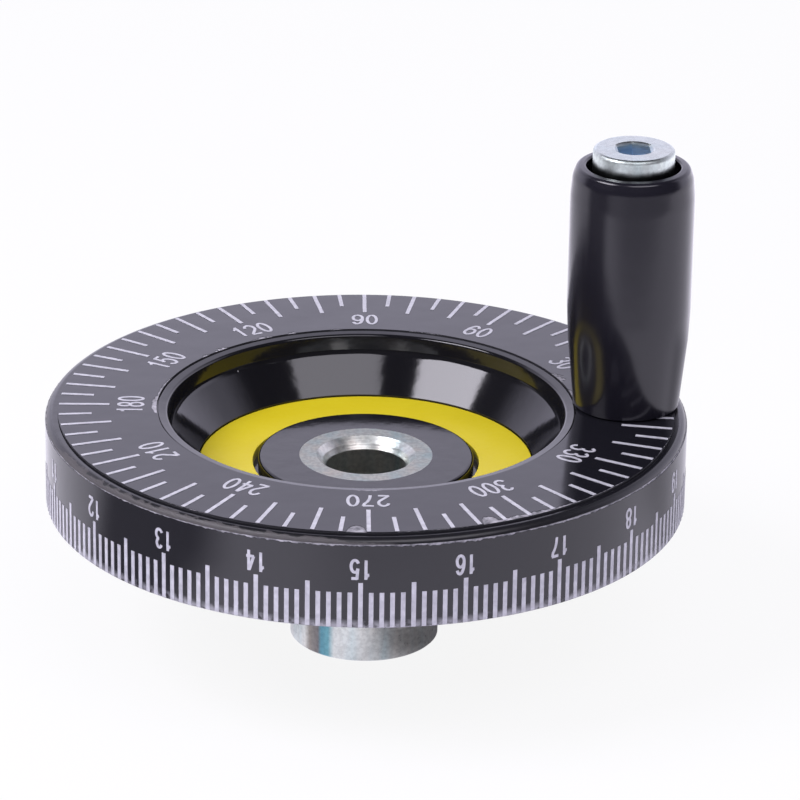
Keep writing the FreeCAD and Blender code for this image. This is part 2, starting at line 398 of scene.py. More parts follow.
def wheel_finish():
    """The glossy black with a duller boss, whose face was turned together with the bush, and a dull lip.

    At the front left the lip is scuffed grey just above the rim label, up to a height that wavers along it.
    """
    finish, tree, shader = black_moulding("wheel_black", 0.07, 0.02, 0.5, wheel_colour)
    radius, angle, height = polar(tree)
    place = node(tree, "ShaderNodeCombineXYZ", {
        "X": math_node(tree, "MULTIPLY", angle, 26.0), "Z": math_node(tree, "MULTIPLY", height, 1.8),
    }).outputs[0]
    edge = product(
        tree, ramp_node(tree, angle, *scuff_rise, 0.0, scuff_height),
        ramp_node(tree, angle, *scuff_fall, 1.0, 0.0),
        ramp_node(tree, noise(tree, place, 1.0, 4.0), 0.3, 0.65, 0.6, 1.2),
    )
    over = math_node(tree, "SUBTRACT", edge, math_node(tree, "SUBTRACT", height, rim_label_top))
    scuffed = product(
        tree, ramp_node(tree, over, 0.0, 0.1, 0.0, 0.85),
        ramp_node(tree, radius, lip_radius - 1, lip_radius - 0.6, 0.0, 1.0),
    )
    boss = ramp_node(tree, radius, boss_radius - 0.4, boss_radius, 0.1, 0.09)
    lip = ramp_node(tree, radius, lip_radius - 0.9, lip_radius - 0.5, 0.0, 0.24)
    dull = math_node(tree, "ADD", lip, product(tree, scuffed, 0.25))
    plug(shader, {
        "Base Color": mixed(tree, scuffed, fed(shader, "Base Color"), scuff_grey),
        "Roughness": math_node(tree, "ADD", boss, dull),
    })
    return finish


wheel_black = wheel_finish()
bush_line = [(bush_radius, collar_end)]
for groove_top in groove_tops:
    bush_line += [
        (bush_radius, groove_top - groove_width), (bush_radius - groove_depth, groove_top - groove_width),
        (bush_radius - groove_depth, groove_top), (bush_radius, groove_top),
    ]
bush_line += [(bush_radius, spigot_foot), (spigot_radius, spigot_foot), (spigot_radius, boss_z)]
body_front = [
    (boss_radius, boss_z, boss_round), (boss_radius, ring_seat), (ring_radius + 0.1, ring_seat),
    (ring_radius + 0.1, cone_foot), (mouth_radius, face_z - mouth_depth, mouth_foot_round),
    (mouth_radius + mouth_draft, face_z + bead_rise - bead_fall, mouth_round),
    (dial_inner - dial_gap, face_z + bead_rise, bead_round), (dial_inner - dial_gap, face_z),
    (lip_radius, face_z, lip_round), (lip_radius, lip_foot), (rim_seat, lip_foot),
]
body_back = [
    (rim_seat, rim_back), (channel_outer, rim_back, back_round),
    (channel_outer - channel_draft, channel_floor, channel_round),
    (channel_inner + channel_draft, channel_floor, channel_round), (channel_inner, web_back, back_round),
    (collar_radius, web_back, collar_fillet), (collar_radius - collar_taper, collar_end, collar_round),
]
wheel = turned("wheel", body_front + body_back + bush_line)
dress(wheel, wheel_black, "wheel", "black_moulding", "wheel_body")

rib_count = 6
rib_half = 1.0
rib_low = rim_back + 1.8
rib_fillet = 1.0
rib_round = 0.35
buried = 0.5
pillar_radius = 6.0
pillar_fillet = 0.8
insert_radius = 4.0
insert_low = reach("handle_insert")[0][2]
handle_x = frame["joints"][0]["pos_m"][0] / MM


def channel_ribs():
    """Straight ribs across the channel, filleted to its floor, with their ends buried in its walls."""
    wide = rib_half + rib_fillet + buried
    rows, before, after = outline([
        (-wide, channel_floor + buried), (wide, channel_floor + buried), (wide, channel_floor),
        (rib_half, channel_floor, rib_fillet), (rib_half, rib_low, rib_round),
        (-rib_half, rib_low, rib_round), (-rib_half, channel_floor, rib_fillet), (-wide, channel_floor),
    ])
    count = len(rows)
    first = np.arange(count)
    onward = np.roll(first, -1)
    sides = np.stack([first, onward, onward + count, first + count], 1)
    ends = np.stack([first[::-1], first + count])
    points, faces, normals = [], [[], []], [[], []]
    for number in range(rib_count):
        turn = (number + 0.5) * 2 * math.pi / rib_count
        outward = np.array([math.cos(turn), math.sin(turn), 0])
        along = np.array([-math.sin(turn), math.cos(turn), 0])
        section = rows[:, :1] * along + rows[:, 1:] * [0, 0, 1]
        points += [section + outward * (channel_outer + buried), section + outward * (channel_inner - buried)]
        leaving, reaching = (
            way[:, :1] * along + way[:, 1:] * [0, 0, 1] for way in (after, np.roll(before, -1, 0))
        )
        faces[0].append(sides + 2 * count * number)
        faces[1].append(ends + 2 * count * number)
        normals[0].append(np.stack([leaving, reaching, reaching, leaving], 1))
        normals[1].append(np.stack([np.tile(outward, (count, 1)), np.tile(-outward, (count, 1))]))
    return mesh_piece(
        "ribs", np.concatenate(points), [np.concatenate(part) for part in faces],
        [np.concatenate(part) for part in normals],
    )


dress(channel_ribs(), wheel_black, "wheel", "black_moulding")
pillar = turned("pillar", [
    (insert_radius, channel_floor + buried), (pillar_radius + pillar_fillet, channel_floor + buried),
    (pillar_radius + pillar_fillet, channel_floor), (pillar_radius, channel_floor, pillar_fillet),
    (pillar_radius, insert_low, rib_round), (insert_radius, insert_low),
], handle_x, 180)
dress(pillar, wheel_black, "wheel", "black_moulding")


# Hub bush
# Turned steel, zinc plated, moulded into the wheel: its ring shows in the boss, with a bright chamfer
# down to the bore, and its plain cylinder stands out behind.

bore_radius = 5.0
bush_chamfer = 0.8
bush_edge = 0.2
mouth_chamfer_radius = 6.2
mouth_chamfer_depth = 0.75
mouth_step_width = 0.4
mouth_step_depth = 0.7
mouth_edge_round = 0.12
stripe_start = -146.5
stripe_end = -117.0
stripe_colours = (
    (0.0, (1, 1, 1, 1)), (0.2, (0.42, 0.38, 0.36, 1)), (0.5, (0.30, 0.27, 0.28, 1)),
    (0.6, (0.20, 0.44, 0.55, 1)), (0.82, (0.26, 0.56, 0.66, 1)), (1.0, (1, 1, 1, 1)),
)
plating_plain = (0.56, 0.63, 0.60, 1)
plating_clouds = (
    (0.3, (0.48, 0.58, 0.57, 1)), (0.45, (0.56, 0.60, 0.57, 1)), (0.7, (0.63, 0.61, 0.55, 1)),
)


def colour_stops(tree, value, *stops):
    """Colour that runs through stops, each a place from 0 to 1 and a colour."""
    made = node(tree, "ShaderNodeValToRGB", {"Fac": value})
    ramp = made.color_ramp
    ramp.elements[0].position, ramp.elements[0].color = stops[0]
    ramp.elements[1].position, ramp.elements[1].color = stops[-1]
    for place, colour in stops[1:-1]:
        ramp.elements.new(place).color = colour
    return made.outputs["Color"]


def turned_steel():
    """Group for turned and plated steel: tool lines round the axis, cloudy plating, and its faint colours.

    The tool lines are noise on the distance from the axis and the height alone; the clouds are noise
    drawn out along the axis.
    """
    tree, start, end = group(
        "turned_steel", {"Centre": 0.0, "Lines": 0.1, "Shine": 0.25, "Clouds": 1.0},
        {"Colour": "NodeSocketColor", "Roughness": "NodeSocketFloat", "Normal": "NodeSocketVector"},
    )
    spot = object_spot(tree)
    x, y, height = node(tree, "ShaderNodeSeparateXYZ", {"Vector": spot}).outputs
    tool_place = node(tree, "ShaderNodeCombineXYZ", {
        "X": from_axis(tree, x, y, start.outputs["Centre"]), "Z": height,
    }).outputs[0]
    drawn_out = node(tree, "ShaderNodeMapping", {"Vector": spot, "Scale": (1, 1, 0.15)}).outputs[0]
    plating = colour_stops(tree, noise(tree, drawn_out, 330.0, 3.0), *plating_clouds)
    colour = mixed(tree, start.outputs["Clouds"], plating_plain, plating)
    grain = noise(tree, spot, 1900.0)
    spread = ramp_node(tree, grain, 0.3, 0.7, -0.03, 0.03, "LINEAR")
    plug(end, {
        "Colour": scaled(tree, colour, ramp_node(tree, grain, 0.35, 0.65, 0.88, 1.08)),
        "Roughness": math_node(tree, "ADD", spread, start.outputs["Shine"]),
        "Normal": bumped(tree, start.outputs["Lines"], 0.0003, noise(tree, tool_place, 3200.0)),
    })
    return tree


steel_group = turned_steel()


def plated_steel(name, centre, lines, shine, clouds):
    """Zinc-plated steel turned about an axis at x = centre, in millimetres."""
    finish, tree, shader = material(name, Metallic=1.0)
    surface = node(tree, "ShaderNodeGroup", {
        "Centre": centre * MM, "Lines": lines, "Shine": shine, "Clouds": clouds,
    }, node_tree=steel_group).outputs
    plug(shader, {
        "Base Color": surface["Colour"], "Roughness": surface["Roughness"], "Normal": surface["Normal"],
    })
    return finish, tree, shader


bush = turned("bush", [
    (bore_radius, bush_chamfer),
    (bore_radius, boss_z - mouth_chamfer_depth - mouth_step_depth, mouth_edge_round),
    (bore_radius + mouth_step_width, boss_z - mouth_chamfer_depth, mouth_edge_round),
    (mouth_chamfer_radius, boss_z, mouth_edge_round),
] + bush_line[::-1] + [
    (bush_radius, bush_edge), (bush_radius - bush_edge, 0), (bore_radius + bush_chamfer, 0),
])


def bush_finish():
    """The plated steel with two coloured stripes of plating down its side, teal beside brown.

    The ring in the boss is duller, the chamfer inside it freshly cut and bright, and the bore darker with
    painted shade.
    """
    finish, tree, shader = plated_steel("bush_steel", 0, 0.12, 0.3, 1.0)
    radius, angle, height = polar(tree)
    border = (mouth_chamfer_radius - 0.05, mouth_chamfer_radius + 0.05)
    front = ramp_node(tree, radius, spigot_radius, spigot_radius + 0.1, 1.0, 0.0)
    dull = product(tree, front, ramp_node(tree, radius, *border, 0.05, 0.3))
    # Painted shade: the bore is darkened to 0.68 of its colour; the chamfer is brighter.
    cut_and_bore_shade = product(
        tree, ramp_node(tree, radius, *border, 1.2, 1.06),
        ramp_node(tree, radius, bore_radius, bore_radius + 0.1, 0.68, 1.0),
    )
    bared = product(tree, front, math_node(tree, "GREATER_THAN", height, groove_tops[1]))
    tone = node(tree, "ShaderNodeMix", {"Factor": bared, "A": 1.0, "B": cut_and_bore_shade}).outputs["Result"]
    across = ramp_node(tree, angle, math.radians(stripe_start), math.radians(stripe_end), 0.0, 1.0, "LINEAR")
    stripes = colour_stops(tree, across, *stripe_colours)
    behind = math_node(tree, "LESS_THAN", height, collar_end)
    plug(shader, {
        "Base Color": mixed(tree, behind, scaled(tree, fed(shader, "Base Color"), tone), stripes, "MULTIPLY"),
        "Roughness": math_node(tree, "ADD", fed(shader, "Roughness"), dull),
    })
    return finish


dress(bush, bush_finish(), "wheel", "zinc_plated_steel", "hub_bush")


# Yellow ring
# A flat ring of yellow plastic lies in the floor of the dish, round the boss.

ring_top = reach("accent_ring")[1][2]
ring_edge = 0.1
yellow_deep = (0.65, 0.525, 0.008, 1)
yellow_pale = (0.735, 0.62, 0.02, 1)


def ring_plastic():
    """Satin yellow, a little uneven in colour and gloss."""
    finish, tree, shader = material("ring_yellow", IOR=1.45)
    spot = object_spot(tree)
    grain = noise(tree, spot, 1500.0)
    cloud = noise(tree, spot, 140.0, 3.0)
    plug(shader, {
        "Base Color": mixed(tree, cloud, yellow_deep, yellow_pale),
        "Roughness": ramp_node(tree, grain, 0.0, 1.0, 0.3, 0.5, "LINEAR"),
        "Normal": bumped(tree, 0.05, 0.0002, grain),
    })
    return finish


ring = turned("yellow_ring", [
    (ring_inner_radius, ring_seat), (ring_inner_radius, ring_top, ring_edge),
    (ring_radius, ring_top, ring_edge), (ring_radius, ring_seat),
])
dress(ring, ring_plastic(), "wheel", "yellow_plastic", "accent_ring")


# Dial label
# A printed film on a pale core, stuck on the wheel's face and holed for the handle's screw. The film is
# chipped along its edges, where the core shows.

dial_seat = face_z
dial_outer = reach("dial_label")[1][0]
film_thickness = 0.05
core_inset = 0.03
film_black = (0.009, 0.009, 0.012, 1)
film_haze = (0.34, 0.34, 0.36, 1)
fibre_deep = (0.10, 0.10, 0.11, 1)
fibre_pale = (0.50, 0.49, 0.52, 1)
fibre_edge_black = (0.02, 0.02, 0.024, 1)
film_steps = 1440
film_angle = np.degrees(np.arange(film_steps) * 2 * math.pi / film_steps)
dial_zero = -2.92
wave_count = 24
wave_range = (40, 420)


def ragged(angle, seed):
    """Noise from 0 to 1 round the ring: sines of whole numbers of waves, with phases drawn from the seed."""
    draw = np.random.default_rng(seed)
    waves = draw.integers(*wave_range, wave_count)
    phase = draw.uniform(0, 2 * math.pi, wave_count)
    total = np.sin(np.radians(angle)[:, None] * waves + phase).sum(1)
    return np.clip(0.5 + total / (wave_count / 2), 0, 1)


def chipped(angle, chips, seed, everywhere=0.02):
    """How far a film's edge is worn back, in millimetres, at each angle in degrees.

    A chip (middle, half width, depth, smooth share) is a half moon: depth times the root of one less the
    square of the way from its middle. The rest of its depth comes and goes with the ragged noise.
    """
    noise = ragged(angle, seed)
    worn = everywhere * noise
    for middle, half, depth, smooth in chips:
        away = (angle - middle + 180) % 360 - 180
        moon = np.sqrt(np.clip(1 - (away / half) ** 2, 0, 1))
        worn = np.maximum(worn, depth * moon * (smooth + (1 - smooth) * noise))
    return worn


def band(name, inner, outer, low, high):
    """Ring with a square section whose four edges may change with the angle."""
    rows = [np.broadcast_to(edge, film_steps) for edge in (inner, inner, outer, outer)]
    heights = [np.broadcast_to(edge, film_steps) for edge in (low, high, high, low)]
    leaving = np.array([(-1, 0), (0, 1), (1, 0), (0, -1)], float)
    return ring_surface(name, np.stack(rows), np.stack(heights), leaving, np.roll(leaving, 1, 0))


def film(name, low=None, high=None):
    """Glossy black printed film; towards a height low it gets hazy, from high down, where it was rubbed."""
    finish, tree, shader = material(name, IOR=1.5)
    spot = object_spot(tree)
    haze = 0.0
    if low is not None:
        near = ramp_node(tree, polar(tree)[2], low, high, 1.0, 0.0, "LINEAR")
        patches = ramp_node(tree, noise(tree, spot, 700.0, 3.0), 0.36, 0.56, 0.0, 0.85, "LINEAR")
        haze = product(tree, near, patches)
    plug(shader, {
        "Base Color": mixed(tree, haze, film_black, film_haze),
        "Roughness": ramp_node(tree, noise(tree, spot, 90.0, 4.0), 0.3, 0.7, 0.07, 0.14, "LINEAR"),
        "Normal": bumped(tree, 0.03, 0.001, noise(tree, spot, 160.0)),
    })
    return finish


def fibre(name, inner, outer):
    """Pale torn core of a label: matt, with a fine patchy grain. Outside the two radii it is near black."""
    finish, tree, shader = material(name, Roughness=0.85)
    grain = noise(tree, object_spot(tree), 900.0, 4.0, 0.7)
    spread = ramp_node(tree, grain, 0.35, 0.65, 0.0, 1.0, "LINEAR")
    torn = mixed(tree, spread, fibre_deep, fibre_pale)
    radius = polar(tree)[0]
    bare = product(
        tree, math_node(tree, "GREATER_THAN", radius, inner), math_node(tree, "LESS_THAN", radius, outer),
    )
    plug(shader, {
        "Base Color": mixed(tree, bare, fibre_edge_black, torn), "Normal": bumped(tree, 0.6, 0.0002, grain),
    })
    return finish


outer_chips = [
    (dial_zero + 267.8, 1.7, 1.9, 1.0), (dial_zero + 292.4, 1.6, 2.4, 0.75), (dial_zero + 299, 7, 0.9, 0.65),
    (dial_zero + 306, 6, 0.4, 0.5), (dial_zero + 315, 10, 0.15, 0.5), (dial_zero + 283, 9, 0.12, 0.2),
    (dial_zero + 236, 6, 0.12, 0.3), (dial_zero + 8, 6, 0.5, 0.1), (dial_zero + 340, 8, 0.12, 0.1),
]
inner_chips = [
    (dial_zero + 179.5, 6.5, 0.75, 0.75), (dial_zero + 168, 8, 0.3, 0.7), (dial_zero + 240, 54, 0.1, 0.5),
    (dial_zero + 141, 1.5, 0.6, 0.2), (dial_zero + 134.7, 2.5, 0.8, 0.0), (dial_zero + 120.5, 3.5, 0.8, 0.0),
    (dial_zero + 111, 1.5, 0.6, 0.3), (dial_zero + 98, 2, 0.2, 0.5), (dial_zero + 22, 3.5, 1.2, 0.4),
    (dial_zero + 9, 4, 0.6, 0.3), (dial_zero + 72, 6, 0.18, 0.1), (dial_zero + 270, 4, 0.35, 0.7),
]
dial_core = band(
    "dial_core", dial_inner + core_inset, dial_outer - core_inset, dial_seat, label_top - film_thickness,
)
core_edge = core_inset + 0.005
dress(dial_core, fibre("dial_fibre", dial_inner + core_edge, dial_outer - core_edge), "wheel", "label_film")
dial_film = band(
    "dial_film",
    dial_inner + chipped(film_angle, inner_chips, 3), dial_outer - chipped(film_angle, outer_chips, 5),
    label_top - film_thickness, label_top,
)
dress(dial_film, film("dial_black"), "wheel", "label_film", "dial_label")


# Print
# White ink: the scales' lines, and numerals each 30 degrees on the face and at each whole unit on the rim,
# where they stand upside down.

numeral_thickness = 0.04
stroke_step = 0.2
dial_numeral_height = 3.4
dial_numeral_width = 1.58
dial_numeral_advance = 1.83
dial_numeral_foot = 27.65
dial_pen = 0.38
rim_numeral_height = 2.7
rim_numeral_width = 1.22
rim_numeral_advance = 1.42
rim_numeral_foot = label_top - 2.75
rim_zero = -4.22
rim_unit = 18
rim_pen = 0.36
ink_thin = (0.40, 0.40, 0.43, 1)
ink_full = (0.56, 0.56, 0.59, 1)


def arc(x, y, across, up, start, end, count=28):
    """Points of an ellipse's arc about (x, y) from the start angle to the end angle, in degrees."""
    turn = np.radians(np.linspace(start, end, count))
    return np.stack([x + across * np.cos(turn), y + up * np.sin(turn)], 1)


def run(*points):
    return np.array(points, float)


six = [arc(0.5, 0.31, 0.5, 0.31, 0, 360), arc(0.56, 0.40, 0.56, 0.60, 190, 42)]
numeral_strokes = {
    "0": [arc(0.5, 0.5, 0.5, 0.5, 0, 360, 48)],
    "1": [run((0.62, 0), (0.62, 1.06)), arc(0.16, 1.06, 0.46, 0.26, 0, -90, 10)],
    "2": [
        np.concatenate([arc(0.5, 0.70, 0.5, 0.30, 170, -38), run((0.02, 0.02))]),
        run((-0.03, 0), (1.06, 0)),
    ],
    "3": [arc(0.48, 0.76, 0.42, 0.24, 158, -90), arc(0.48, 0.26, 0.52, 0.26, 90, -158)],
    "4": [run((0.72, -0.06), (0.72, 1.06)), run((-0.06, 0.27), (1.08, 0.27)), run((0.66, 1.04), (0.0, 0.27))],
    "5": [
        run((0.12, 1.0), (0.96, 1.0)), run((0.20, 1.05), (0.08, 0.45)),
        arc(0.48, 0.33, 0.52, 0.33, 150, -152, 40),
    ],
    "6": six,
    "7": [
        run((-0.04, 1.0), (1.04, 1.0)),
        np.concatenate([run((0.98, 1.0)), arc(1.30, -0.06, 1.0, 0.92, 115, 178)]),
    ],
    "8": [arc(0.5, 0.76, 0.42, 0.24, 0, 360, 40), arc(0.5, 0.26, 0.5, 0.26, 0, 360, 40)],
    "9": [1 - stroke for stroke in six],
}


def stroke_solid(path, pen, thickness):
    """Points and faces of a pen stroke: the path moved half a pen to each side, raised by its thickness."""
    along = np.gradient(path, axis=0)
    along /= np.linalg.norm(along, axis=1, keepdims=True)
    aside = np.stack([-along[:, 1], along[:, 0]], 1) * pen / 2
    sides = np.stack([path + aside, path - aside, path - aside, path + aside], 1)
    lift = np.broadcast_to([[thickness], [thickness], [0], [0]], sides.shape[:2] + (1,))
    count = len(path)
    index = np.arange(count * 4).reshape(count, 4)
    turn = np.roll(index, -1, 1)
    faces = np.stack([index[:-1], turn[:-1], turn[1:], index[1:]], 2).reshape(-1, 4)
    ends = np.stack([index[0][::-1], index[-1]])
    return np.concatenate([sides, lift], 2).reshape(-1, 3), np.concatenate([faces, ends])


def number_solid(number, height, width, advance, pen, thickness):
    """Points (along, up, off) and faces of a number, centred on its middle, standing on its foot."""
    points, faces, total = [], [], 0
    digits = str(number)
    for place, digit in enumerate(digits):
        left = (place - len(digits) / 2) * advance + (advance - width) / 2
        for layer, stroke in enumerate(numeral_strokes[digit]):
            path = stroke * [width - pen, height - pen] + [left + pen / 2, pen / 2]
            spots, sides = stroke_solid(path, pen, thickness * (1 - layer * stroke_step))
            points.append(spots)
            faces.append(sides + total)
            total += len(spots)
    return np.concatenate(points), np.concatenate(faces)


def numerals(name, numbers, angles, size, place):
    """All numbers of a scale as one piece; place bends each one's points to its angle."""
    points, faces, total = [], [], 0
    for number, angle in zip(numbers, angles):
        spots, sides = number_solid(number, *size)
        points.append(place(spots, math.radians(angle)))
        faces.append(sides + total)
        total += len(spots)
    return mesh_piece(name, np.concatenate(points), [np.concatenate(faces)])


def on_dial(spots, angle):
    """Up is outwards and along is clockwise, flat on the label."""
    outward = np.array([math.cos(angle), math.sin(angle), 0])
    along = np.array([math.sin(angle), -math.cos(angle), 0])
    foot = outward * dial_numeral_foot + [0, 0, label_top]
    return foot + spots[:, :1] * along + spots[:, 1:2] * outward + spots[:, 2:] * [0, 0, 1]


def on_rim(spots, angle):
    """Up is towards the rear and along is clockwise, bent round the rim."""
    round_rim = angle - spots[:, 0] / rim_label_radius
    return swung(rim_label_radius + spots[:, 2], rim_numeral_foot - spots[:, 1], round_rim)


def ink():
    """White ink, a little thin in places."""
    finish, tree, shader = material("white_ink", Roughness=0.25, IOR=1.5)
    spread = ramp_node(tree, noise(tree, object_spot(tree), 1100.0, 3.0), 0.3, 0.7, 0.0, 1.0, "LINEAR")
    plug(shader, {"Base Color": mixed(tree, spread, ink_thin, ink_full)})
    return finish


white_ink = ink()
dial_numbers = range(30, 360, 30)
dial_numerals = numerals(
    "dial_numerals", dial_numbers, [dial_zero + number for number in dial_numbers],
    (dial_numeral_height, dial_numeral_width, dial_numeral_advance, dial_pen, numeral_thickness), on_dial,
)
dress(dial_numerals, white_ink, "wheel", "white_print")
rim_numbers = range(20)
rim_numerals = numerals(
    "rim_numerals", rim_numbers, [rim_zero + number * rim_unit for number in rim_numbers],
    (rim_numeral_height, rim_numeral_width, rim_numeral_advance, rim_pen, numeral_thickness), on_rim,
)
dress(rim_numerals, white_ink, "wheel", "white_print")
for name in ("degree_marks", "rim_marks"):
    lines = frame["nodes"][name]
    lines.data.materials.clear()
    lines.data.materials.append(white_ink)


# Rim label
# A printed strip round the rim, film on core as on the face. Its upper edge is worn along the front left,
# and its lower edge is hazy between the lines.

rim_chips = [
    (rim_zero + 14.4 * rim_unit, 24, 0.25, 0.2), (rim_zero + 17.3 * rim_unit, 14, 0.25, 0.4),
    (rim_zero + 18.6 * rim_unit, 12, 0.3, 0.3), (rim_zero + 15.9 * rim_unit, 14, 0.35, 0.3),
]
rim_low_chips = [(rim_zero + 13.9 * rim_unit, 10, 0.22, 0.1), (rim_zero + 15.5 * rim_unit, 16, 0.16, 0.1)]
rim_core = band("rim_core", rim_seat, rim_label_radius - film_thickness, rim_back, rim_label_top)
dress(rim_core, fibre("rim_fibre", rim_seat, rim_label_radius), "wheel", "label_film")
rim_film = band(
    "rim_film", rim_label_radius - film_thickness, rim_label_radius,
    rim_back + chipped(film_angle, rim_low_chips, 7), rim_label_top - chipped(film_angle, rim_chips, 8, 0.12),
)
dress(rim_film, film("rim_black", rim_back + 0.3, rim_back + 1.1), "wheel", "label_film", "rim_label")


# Insert
# A turned brass insert, moulded into the rim, takes the screw.

brass = material("insert_brass", Metallic=1.0, Roughness=0.3, Base_Color=(0.74, 0.55, 0.24, 1))[0]
insert = frame["nodes"]["handle_insert"]
insert.data.materials.clear()
insert.data.materials.append(brass)


# Screw
# The grip turns on a shoulder screw, turned and zinc plated like the bush, with a rounded head that stands
# out of the grip and a hexagon socket.

screw_tip = reach("handle_spindle")[0][2]
screw_top = reach("handle_spindle")[1][2]
thread_radius = 2.5
thread_chamfer = 0.5
shoulder_radius = 4.75
shoulder_height = 1.5
shank_radius = 3.0
head_radius = 5.05
head_height = 4.3
head_round = 0.5
socket_flat = 2.0
socket_depth = 2.5
socket_cone = 0.9
socket_chamfer = 0.25
socket_blue = (0.38, 0.52, 0.66, 1)
socket_corner = socket_flat / math.cos(math.pi / 6)
screw_outline = [
    (0, screw_top - socket_depth - socket_cone), (socket_flat, screw_top - socket_depth),
    (socket_corner, screw_top - socket_depth), (socket_corner, screw_top - socket_chamfer),
    (socket_corner + socket_chamfer, screw_top), (head_radius, screw_top, head_round),
    (head_radius, screw_top - head_height), (shank_radius, screw_top - head_height),
    (shank_radius, face_z + shoulder_height), (shoulder_radius, face_z + shoulder_height),
    (shoulder_radius, face_z), (thread_radius, face_z), (thread_radius, screw_tip + thread_chamfer),
    (thread_radius - thread_chamfer, screw_tip), (0, screw_tip),
]
screw_steps = 360


def screw_solid():
    """Turned screw whose two socket rows are hexagons: flat over the cosine of the way to the next flat."""
    rows, before, after = outline(screw_outline)
    angle = np.arange(screw_steps) * 2 * math.pi / screw_steps
    sixth = math.pi / 3
    hexagon = socket_flat / np.cos((angle + sixth / 2) % sixth - sixth / 2)
    radius = np.repeat(rows[:, :1], screw_steps, 1)
    radius[2:4] = hexagon
    before[3:5] = np.nan
    after[2:4] = np.nan
    return ring_surface("screw", radius, rows[:, 1:], after, before, handle_x)


def screw_finish():
    """The plated steel, duller on the head's side; painted light makes that side brighter than the top, and
    painted shade darkens it towards the grip in streaks drawn out along Z. It is bluish in the socket, most
    towards its floor.
    """
    finish, tree, shader = plated_steel("screw_steel", handle_x, 0.05, 0.26, 0.35)
    radius, _, height = polar(tree, handle_x)
    down = math_node(tree, "SUBTRACT", screw_top, height)
    drawn_out = node(tree, "ShaderNodeMapping", {"Vector": object_spot(tree), "Scale": (1, 1, 0.12)})
    shade_streaks = product(tree, noise(tree, drawn_out.outputs[0], 900.0), 0.5)
    # Painted light and shade: the head's side brighter than its top, and darker towards the grip in streaks.
    tone = product(
        tree, ramp_node(tree, down, 0.1, 0.7, 0.9, 1.4),
        ramp_node(tree, math_node(tree, "ADD", down, shade_streaks), 1.6, 2.4, 1.0, 0.12),
    )
    deep = product(
        tree, ramp_node(tree, radius, socket_corner + 0.01, socket_corner + 0.09, 1.0, 0.0),
        ramp_node(tree, down, 0.3, 0.9, 0.3, 1.0),
    )
    worn = product(
        tree, ramp_node(tree, down, 0.7, 1.6, 0.2, 0.06), ramp_node(tree, down, 0.02, 0.15, 0.0, 1.0),
    )
    dull = math_node(tree, "MAXIMUM", worn, product(tree, deep, 0.3))
    plug(shader, {
        "Base Color": mixed(tree, deep, scaled(tree, fed(shader, "Base Color"), tone), socket_blue),
        "Roughness": math_node(tree, "ADD", fed(shader, "Roughness"), dull),
    })
    return finish


screw = screw_solid()
dress(screw, screw_finish(), "wheel", "zinc_plated_steel", "handle_spindle")


# Grip
# The revolving grip, moulded of the same glossy black, narrows to its foot and is bored through for the
# screw's shoulder, shank and head.

grip_low, grip_high = reach("grip")
grip_foot = grip_low[2]
grip_top = grip_high[2]
grip_radius = 7.68
grip_foot_radius = 6.6
grip_taper = 10.9
grip_taper_round = 45.0
grip_neck = 4.0
grip_neck_round = 12.0
grip_shoulder_radius = 7.45
grip_shoulder_drop = 1.35
grip_shoulder_round = 3.0
grip_crest_radius = 6.95
grip_crest_drop = 0.1
grip_crest_round = 0.6
grip_lip_round = 0.3
grip_foot_round = 0.2
head_bore = 5.78
shank_bore = 3.08
shoulder_bore = 5.05
shoulder_gap = 0.3
grip_colour = (0.010, 0.0095, 0.014, 1)

head_bore_floor = screw_top - head_height - shoulder_gap
shoulder_bore_top = face_z + shoulder_height + shoulder_gap
grip = turned("black_grip", [
    (shoulder_bore, grip_foot), (shoulder_bore, shoulder_bore_top), (shank_bore, shoulder_bore_top),
    (shank_bore, head_bore_floor), (head_bore, head_bore_floor), (head_bore, grip_top, grip_lip_round),
    (grip_crest_radius, grip_top - grip_crest_drop, grip_crest_round),
    (grip_shoulder_radius, grip_top - grip_shoulder_drop, grip_shoulder_round),
    (grip_radius, grip_top - grip_neck, grip_neck_round),
    (grip_radius, grip_foot + grip_taper, grip_taper_round), (grip_foot_radius, grip_foot, grip_foot_round),
], handle_x)
grip_black = black_moulding("grip_black", 0.19, 0.015, 0.15, grip_colour)[0]
dress(grip, grip_black, "grip", "black_moulding", "grip")


# Studio
# The wheel stands on white paper in a white surround. Two soft boxes at the camera's left and right light
# it and show in its gloss, and so do the paper and the backdrop, each brighter in some parts.

floor_size = 6.0
paper_colour = (0.85, 0.83, 0.9, 1)
paper_glow = (0.90, 0.87, 1.0, 1)
paper_level = 1.5
box_colour = (0.93, 0.90, 1.0, 1)
backdrop_colour = (0.90, 0.87, 1.07, 1)
surround_grey = 0.5
white = (1, 1, 1, 1)


def staged_sheet(name, width, height, finish):
    """Upright or level sheet about its own middle, in metres, that is no part of the wheel."""
    mesh = bpy.data.meshes.new(name)
    across, up = width / 2, height / 2
    corners = [(-across, -up, 0), (across, -up, 0), (across, up, 0), (-across, up, 0)]
    mesh.from_pydata(corners, [], [(0, 1, 2, 3)])
    mesh.materials.append(finish)
    sheet = bpy.data.objects.new(name, mesh)
    bpy.context.scene.collection.objects.link(sheet)
    return sheet


